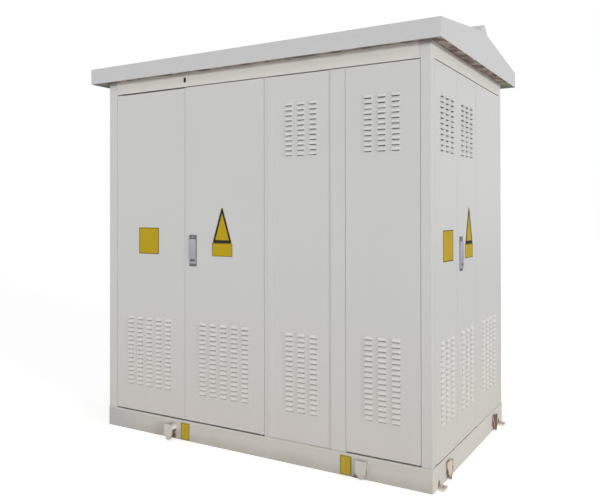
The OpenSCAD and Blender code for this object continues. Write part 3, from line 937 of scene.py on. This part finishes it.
def squareBorder(name, node, side, body, plan):
    edges = onWall(node, side)
    back = edges["face"]
    insets = (plan["inset"], plan["inset"] + plan["squareWidth"])

    def draw(mesh):
        addFrame(mesh, wallSides(edges), insets, plan["squareRadii"], back - plan["thick"], back)

    makePiece(name, draw, "ink", body, side)


def triangleBorder(name, node, side, body, plan):
    edges = onWall(node, side)
    middle = (edges["left"] + edges["right"]) / 2
    foot = edges["bottom"] + plan["captionHigh"]
    back = edges["face"]
    front = back - plan["thick"]

    def draw(mesh):
        inset, sides, base = plan["triangleInset"], plan["triangleSides"], plan["triangleFoot"]
        outer = roundedTriangle(middle, foot, plan, inset, inset, plan["tipRadius"] - inset)
        inner = roundedTriangle(middle, foot, plan, sides, base, plan["innerTip"])
        addRing(mesh, outer, inner, front, back)

    def drawCaption(mesh):
        sides = (edges["left"], edges["right"], edges["bottom"], foot)
        insets = (plan["inset"], plan["inset"] + plan["captionWidth"])
        addFrame(mesh, sides, insets, plan["captionRadii"], front, back)

    makePiece(name, draw, "ink", body, side)
    makePiece(name.replace("Triangle", "Caption"), drawCaption, "ink", body, side)


squareBorder("frontSquareBorder", "front_square_plate", frontSide, "front_left", borderPlan)
squareBorder("endSquareBorder", "end_square_plate", rightEnd, "end_near", borderPlan)
triangleBorder("frontTriangleBorder", "front_triangle_plate", frontSide, "front_right", borderPlan)
triangleBorder("endTriangleBorder", "end_triangle_plate", rightEnd, "end_far", borderPlan)
print("stage: sign borders drawn")

# Bare yellow labels on the front of the base

labelPlan = {
    "wide": 72 * mm,
    "high": 108 * mm,
    "up": 4 * mm,
    "thick": 1 * mm,
    "radius": 4 * mm,
    "bevel": 0.3 * mm,
    "rimInsets": (1 * mm, 10 * mm),
    "rimRadii": (3 * mm, 2 * mm),
    "rimThick": 0.3 * mm,
    "field": 28 * mm,                   # bare stripe down the middle, in from each side
    "fieldEnds": 20 * mm,
    "fieldRadius": 6 * mm,
    "fieldThick": 0.2 * mm,
    "places": (634 * mm, 1769 * mm),    # left edges from the left corner
}


def baseLabels(plan):
    back = -baseLip
    face = back - plan["thick"]
    for name, left in zip(("leftBaseLabel", "rightBaseLabel"), plan["places"]):
        sides = (left, left + plan["wide"], plan["up"], plan["up"] + plan["high"])

        def draw(mesh):
            addPrism(mesh, roundedRectangle(sides, plan["radius"]), face, back, plan["bevel"])

        def drawRim(mesh):
            addFrame(mesh, sides, plan["rimInsets"], plan["rimRadii"], face - plan["rimThick"], face)

        def drawField(mesh):
            outline = roundedRectangle(drawnIn(sides, plan["field"], plan["fieldEnds"]), plan["fieldRadius"])
            addPrism(mesh, outline, face - plan["fieldThick"], face)

        makePiece(name, draw, "label", "housing", frontSide)
        makePiece(name + "Rim", drawRim, "labelRim", "housing", frontSide)
        makePiece(name + "Field", drawField, "labelField", "housing", frontSide)


baseLabels(labelPlan)
print("stage: base labels placed")

# Locks: grip, lip, screws and keyway on the plain lever and base plate

lockPiecePlan = {
    "grip": (47 * mm, 169 * mm),        # heights from the foot of the lock
    "lip": (18.5 * mm, 28.5 * mm),
    "side": 5.5 * mm,
    "gripRadius": 3 * mm,
    "crown": 1.6 * mm,
    "sunk": 0.5 * mm,
    "bevel": 1.3 * mm,
    "plateFace": 3 * mm,
    "screwIn": 10 * mm,
    "screwFoot": 8.5 * mm,
    "screw": ((3.6 * mm, 0), (3.6 * mm, 0.8 * mm), (2.52 * mm, 1.8 * mm), (1.08 * mm, 2.1 * mm)),
    "keyFromTop": 13.5 * mm,
    "keyFace": 6 * mm,
    "keyway": ((6.5 * mm, 0), (6.5 * mm, 0.6 * mm), (5.6 * mm, 1 * mm), (4.6 * mm, 0.7 * mm)),
    "slit": (0.8 * mm, 3.2 * mm),
    "slitRadius": 0.7 * mm,
    "slitOut": 0.9 * mm,
}


def lockPieces(name, node, side, body, plan):
    edges = onWall(node, side)
    left, right, foot, top = wallSides(edges)
    middle, keyHeight = (left + right) / 2, top - plan["keyFromTop"]
    plateFace, keyFace = -plan["plateFace"], -plan["keyFace"]

    def drawGrip(mesh):
        front, back = edges["face"] - plan["crown"], edges["face"] + plan["sunk"]
        for low, high in (plan["grip"], plan["lip"]):
            sides = (left + plan["side"], right - plan["side"], foot + low, foot + high)
            addPrism(mesh, roundedRectangle(sides, plan["gripRadius"]), front, back, plan["bevel"], 3)

    def at(x, face, z):
        return lambda across, up, out: (x + across, face - out, z + up)

    def drawScrews(mesh):
        for x in (left + plan["screwIn"], right - plan["screwIn"]):
            for z in (foot + plan["screwFoot"], keyHeight):
                addTurned(mesh, plan["screw"], 20, at(x, plateFace, z))

    def drawKeyway(mesh):
        addTurned(mesh, plan["keyway"], 28, at(middle, keyFace, keyHeight))

    # painted shade: a black slit standing on the keyway for the dark of the key hole
    def drawSlit(mesh):
        outline = roundedRectangle(centred(middle, keyHeight, *plan["slit"]), plan["slitRadius"])
        addPrism(mesh, outline, keyFace - plan["slitOut"], keyFace)

    makePiece(name + "Grip", drawGrip, "lock", body, side, 35)
    makePiece(name + "Screws", drawScrews, "rod", body, side, 35)
    makePiece(name + "Keyway", drawKeyway, "rod", body, side, 35)
    makePiece(name + "KeySlit", drawSlit, "ink", body, side)


lockPieces("frontLock", "front_lock", frontSide, "front_right", lockPiecePlan)
lockPieces("endLock", "end_lock", rightEnd, "end_far", lockPiecePlan)
print("stage: lock pieces made")

# Rubber grommet in the hole over the double door

grommetPlan = {"wide": 18 * mm, "high": 32 * mm, "bore": 13 * mm, "wall": 1 * mm, "out": 1.6 * mm, "in": 4 * mm}


def headerGrommet(plan):
    header = onWall("header_frame", frontSide)
    leaves = onWall("front_left_leaf", frontSide), onWall("front_right_leaf", frontSide)
    x = (leaves[0]["right"] + leaves[1]["left"]) / 2
    z = (header["bottom"] + header["top"]) / 2
    half, bore = plan["wide"] / 2, plan["bore"] / 2
    sleeve = bore + plan["wall"]

    def draw(mesh):
        flange = roundedRectangle(centred(x, z, half, plan["high"] / 2), half, 8)
        inner = roundedRectangle(centred(x, z, bore, bore), bore, 8)
        addRing(mesh, flange, inner, -plan["out"], 0)
        addRing(mesh, roundedRectangle(centred(x, z, sleeve, sleeve), sleeve, 8), inner, 0, plan["in"])

    makePiece("headerGrommet", draw, "rubber", "housing", frontSide)


headerGrommet(grommetPlan)
print("stage: header grommet made")

# Seal strips on the base under the end leaves, near white as painted light in the sill gap

sealPlan = {"deep": 5 * mm, "wide": 12 * mm, "clear": 1 * mm, "radius": 0.8 * mm, "bevel": 0.5 * mm}


def endSeals(plan):
    for name, node in (("nearEndSeal", "end_near_leaf"), ("farEndSeal", "end_far_leaf")):
        edges = onWall(node, rightEnd)

        def draw(mesh):
            sides = (edges["left"], edges["right"], baseTop, edges["bottom"] - plan["clear"])
            outline = roundedRectangle(sides, plan["radius"])
            addPrism(mesh, outline, plan["deep"], plan["deep"] + plan["wide"], plan["bevel"])

        makePiece(name, draw, "seal", "housing", rightEnd)


endSeals(sealPlan)
print("stage: end seals laid")

# Weld beads round the lifting lugs

weldPlan = {
    "tube": 26 * mm,                    # radius of the tube
    "fromTop": 34 * mm,
    "thick": 3.2 * mm,
    "plateShare": 0.7,                  # thickness at the plate, as a share of that at the base
    "ripples": 34,
    "rippleHigh": 0.16,
    "lumps": 3,
    "lumpHigh": 0.12,
    "lumpShift": 40,                    # turns the lumps from one bead to the next
}


def addBead(mesh, x, z, depth, thick, plan, steps=136, around=8):
    # lumpy weld round a tube that runs out from the wall
    loops = []
    for i in range(steps):
        turn = math.tau * i / steps
        ripple = plan["rippleHigh"] * math.cos(plan["ripples"] * turn)
        swell = plan["lumpHigh"] * math.sin(plan["lumps"] * turn + x * plan["lumpShift"])
        lump = thick * (1 + ripple + swell)
        loop = []
        for k in range(around):
            bend = math.tau * k / around
            out = plan["tube"] + lump * math.cos(bend)
            point = (x + out * math.cos(turn), depth + lump * math.sin(bend), z + out * math.sin(turn))
            loop.append(mesh.verts.new(point))
        loops.append(loop)
    bridge(mesh, loops + loops[:1])


def lugWelds(plan):
    sides = {"lug_front": frontSide, "lug_back": backSide, "lug_end": rightEnd, "lug_left": leftEnd}
    for node in sorted(name for name in nodes if name.startswith("lug_")):
        side = next(value for start, value in sides.items() if node.startswith(start))
        edges = onWall(node, side)
        middle, z = (edges["left"] + edges["right"]) / 2, edges["top"] - plan["fromTop"]

        def draw(mesh):
            addBead(mesh, middle, z, -baseLip, plan["thick"], plan)
            plateBack = edges["face"] + lugPlan["plateThick"]
            addBead(mesh, middle, z, plateBack, plan["plateShare"] * plan["thick"], plan)

        first, *others = node.split("_")
        name = first + "".join(word.capitalize() for word in others) + "Welds"
        makePiece(name, draw, "rust" if side % 2 else "base", "housing", side, 60)


lugWelds(weldPlan)
print("stage: lug welds made")

# Screws along both edges of the ridge cap

ridgePlan = {
    "spacing": 260 * mm,
    "fromEdge": 12 * mm,
    "fromEnd": 60 * mm,
    "crestHalf": 12 * mm,
    "profile": ((7.5 * mm, 0), (7.5 * mm, 0.8 * mm), (5 * mm, 1 * mm), (5 * mm, 3 * mm), (3 * mm, 3.75 * mm)),
}


def ridgeScrews(plan):
    low, high = (Vector(corner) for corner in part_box("ridge_cap"))
    length = high.x - low.x - 2 * plan["fromEnd"]
    count = int(length // plan["spacing"])

    def draw(mesh):
        for hand in (-1, 1):
            # each side of the cap runs from its foot on the slope up to its flat top
            foot = Vector((0, hand * high.y, low.z))
            crest = Vector((0, hand * plan["crestHalf"], high.z))
            along = (crest - foot).normalized()
            normal = Vector((0, hand * along.z, abs(along.y)))
            seat = foot + along * plan["fromEdge"]
            turn = normal.to_track_quat("Z", "X").to_matrix().to_4x4()
            for i in range(count + 1):
                x = low.x + plan["fromEnd"] + i * length / count
                place = Matrix.Translation((x, seat.y, seat.z)) @ turn
                addTurned(mesh, plan["profile"], 12, lambda *point: place @ Vector(point))

    makePiece("ridgeScrews", draw, "rod", "housing", smooth=35)


ridgeScrews(ridgePlan)
print("stage: ridge screws made")

# Floor and light

# The sky is brightest near the ground; a low wide sun from the right gives the shape,
# a top light the roof, and a wide fill reaches under the eaves
lightPlan = {
    "skyTop": 0.11,
    "skyEdge": 1.15,
    "skyFall": 3.0,
    "sun": 1.5,
    "sunWidth": 12,
    "sunFrom": (0.87, -0.34, 0.08),
    "fill": 0.83,
    "fillWidth": 10,
    "fillFrom": (0.2, -0.97, 0.05),
    "top": 0.56,
    "topWidth": 30,
    "topFrom": (0, 0, 1),
    "floorSpread": 40,
    "floorGlow": 0.62,
    "floorTone": 0.86,
}
white = (1, 1, 1, 1)


def layFloor(plan):
    ground = Finish("studioFloor")
    seen = ground.node("LightPath", out="Is Camera Ray")
    glow = ground.node("Emission", {}, {"Color": white, "Strength": seen * plan["floorGlow"]})
    tone = plan["floorTone"]
    matt = ground.node("BsdfDiffuse", {}, {"Color": (tone, tone, tone, 1)})
    both = ground.node("AddShader", {}, {0: glow, 1: matt})
    ground.node("OutputMaterial", {}, {"Surface": both})
    mesh = bmesh.new()
    bmesh.ops.create_grid(mesh, x_segments=8, y_segments=8, size=plan["floorSpread"])
    bmesh.ops.translate(mesh, verts=mesh.verts, vec=(0, 0, cadBounds[0][2]))
    makeObject("floor", mesh, ground.material)


def lightStudio(plan):
    scene.world = scene.world or bpy.data.worlds.new("sky")
    scene.world.use_nodes = True
    world = Recipe(scene.world.node_tree)
    # the camera, reflections and clear things see a plain white sky
    rays = ("Is Camera Ray", "Is Glossy Ray", "Is Transmission Ray")
    seen = [world.node("LightPath", out=ray) for ray in rays]
    plain = world.node("Clamp", {}, {"Value": seen[0] + seen[1] + seen[2]})
    drop = 1 - world.axis(world.node("TexCoord", out="Generated"), "Z")
    sky = world.maths("POWER", drop, plan["skyFall"]) * plan["skyEdge"] + plan["skyTop"]
    light = world.node("Background", {}, {"Color": white, "Strength": plain * (1 - sky) + sky})
    world.node("OutputWorld", {}, {"Surface": light})
    for name in ("sun", "fill", "top"):
        lamp = bpy.data.lights.new(name, "SUN")
        lamp.energy = plan[name]
        lamp.angle = math.radians(plan[name + "Width"])
        held = bpy.data.objects.new(name, lamp)
        held.rotation_euler = Vector(plan[name + "From"]).to_track_quat("Z", "Y").to_euler()
        scene.collection.objects.link(held)


lightStudio(lightPlan)
layFloor(lightPlan)
print("stage: floor and light set")
